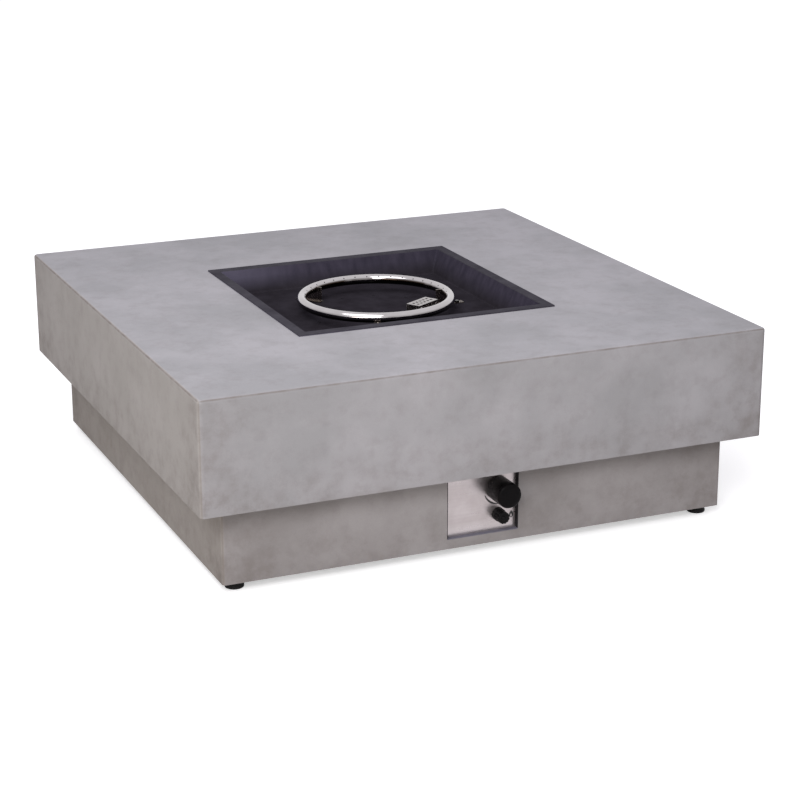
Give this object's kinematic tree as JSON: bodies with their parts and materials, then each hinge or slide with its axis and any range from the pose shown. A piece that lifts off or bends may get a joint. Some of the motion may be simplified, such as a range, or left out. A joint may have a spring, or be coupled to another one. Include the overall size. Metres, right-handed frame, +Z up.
{
  "type": "gas fire table",
  "caption": "Low square stone gas fire table with a sunken black fire pan, ring burner, covered pilot and front gas knob and igniter.",
  "frame": {"origin": "on the floor, under the middle of the square top", "axes": "+Z up, the control panel faces -Y, +X to the right seen from the panel side"},
  "size_m": [1.067, 1.067, 0.3677],
  "materials": {
    "top_stone": "matte",
    "base_stone": "matte",
    "frame_steel": "satin",
    "foot_plastic": "matte",
    "zinc_steel": "satin",
    "pan_black": "satin",
    "burner_steel": "polished",
    "hood_steel": "satin",
    "panel_steel": "satin",
    "rubber_black": "matte",
    "brass": "satin",
    "valve_metal": "satin",
    "stem_steel": "satin",
    "knob_black": "gloss",
    "ceramic_white": "gloss",
    "trim_black": "satin",
    "bezel_black": "satin",
    "button_black": "gloss",
    "contact_steel": "satin",
    "cell_wrap": "satin"
  },
  "bodies": {
    "table": {"air_mixer": "valve_metal", "base_shell": "base_stone", "burner_pan": "pan_black", "burner_ring": "burner_steel", "burner_screws": "burner_steel", "control_plate": "panel_steel", "electrode_insulator": "ceramic_white", "electrode_rod": "stem_steel", "flame_sensor": "stem_steel", "foot_nuts": "frame_steel", "gas_inlet_fitting": "brass", "gas_orifice": "brass", "gas_pipe": "zinc_steel", "gas_riser": "zinc_steel", "gas_valve": "valve_metal", "hose_grommet": "rubber_black", "igniter_bezel": "bezel_black", "igniter_body": "trim_black", "igniter_cell": "cell_wrap", "igniter_nut": "zinc_steel", "inlet_nuts": "burner_steel", "lower_rail_front": "frame_steel", "lower_rail_left": "frame_steel", "lower_rail_rear": "frame_steel", "lower_rail_right": "frame_steel", "pilot_hood": "hood_steel", "pilot_plate": "hood_steel", "pipe_elbow": "brass", "plate_screws": "zinc_steel", "post_front_left": "frame_steel", "post_front_right": "frame_steel", "post_rear_left": "frame_steel", "post_rear_right": "frame_steel", "ring_saddle_1": "burner_steel", "ring_saddle_2": "burner_steel", "ring_saddle_3": "burner_steel", "table_top": "top_stone", "upper_rail_front": "frame_steel", "upper_rail_left": "frame_steel", "upper_rail_rear": "frame_steel", "upper_rail_right": "frame_steel", "valve_screws": "zinc_steel"},
    "collar": {"spring_seat": "trim_black"},
    "knob": {"gas_knob": "knob_black", "valve_stem": "stem_steel"},
    "cap_thread": {"cap_contact": "contact_steel"},
    "cap": {"igniter_cap": "bezel_black"},
    "button": {"igniter_button": "button_black"},
    "foot_front_left": {"foot_pad_front_left": "foot_plastic", "foot_stud_front_left": "zinc_steel"},
    "foot_front_right": {"foot_pad_front_right": "foot_plastic", "foot_stud_front_right": "zinc_steel"},
    "foot_rear_right": {"foot_pad_rear_right": "foot_plastic", "foot_stud_rear_right": "zinc_steel"},
    "foot_rear_left": {"foot_pad_rear_left": "foot_plastic", "foot_stud_rear_left": "zinc_steel"}
  },
  "joints": [
    {"name": "knob_push", "type": "slide", "parent": "table", "child": "collar", "axis": [0, 1, 0], "range_m": [0, 0.004], "stiffness_N_per_m": 2500, "springref_m": -0.003},
    {"name": "knob_turn", "type": "hinge", "parent": "collar", "child": "knob", "pos_m": [0.032, -0.5, 0.115], "axis": [0, -1, 0], "range_deg": [0, 180]},
    {"name": "cap_travel", "type": "slide", "parent": "table", "child": "cap_thread", "axis": [0, -1, 0], "range_m": [0, 0.0075]},
    {"name": "cap_turn", "type": "hinge", "parent": "cap_thread", "child": "cap", "pos_m": [0.034, -0.49, 0.065], "axis": [0, -1, 0], "range_deg": [0, 1080.1]},
    {"name": "igniter_press", "type": "slide", "parent": "cap", "child": "button", "axis": [0, 1, 0], "range_m": [0, 0.0025], "stiffness_N_per_m": 400, "springref_m": -0.0015},
    {"name": "foot_turn_front_left", "type": "hinge", "parent": "table", "child": "foot_front_left", "pos_m": [-0.4525, -0.4525, 0.01], "axis": [0, 0, 1], "continuous": true},
    {"name": "foot_turn_front_right", "type": "hinge", "parent": "table", "child": "foot_front_right", "pos_m": [0.4525, -0.4525, 0.01], "axis": [0, 0, 1], "continuous": true},
    {"name": "foot_turn_rear_right", "type": "hinge", "parent": "table", "child": "foot_rear_right", "pos_m": [0.4525, 0.4525, 0.01], "axis": [0, 0, 1], "continuous": true},
    {"name": "foot_turn_rear_left", "type": "hinge", "parent": "table", "child": "foot_rear_left", "pos_m": [-0.4525, 0.4525, 0.01], "axis": [0, 0, 1], "continuous": true}
  ],
  "couplings": [
    {"joint": "cap_turn", "follows": "cap_travel", "rad_per_m": 2513.3}
  ]
}
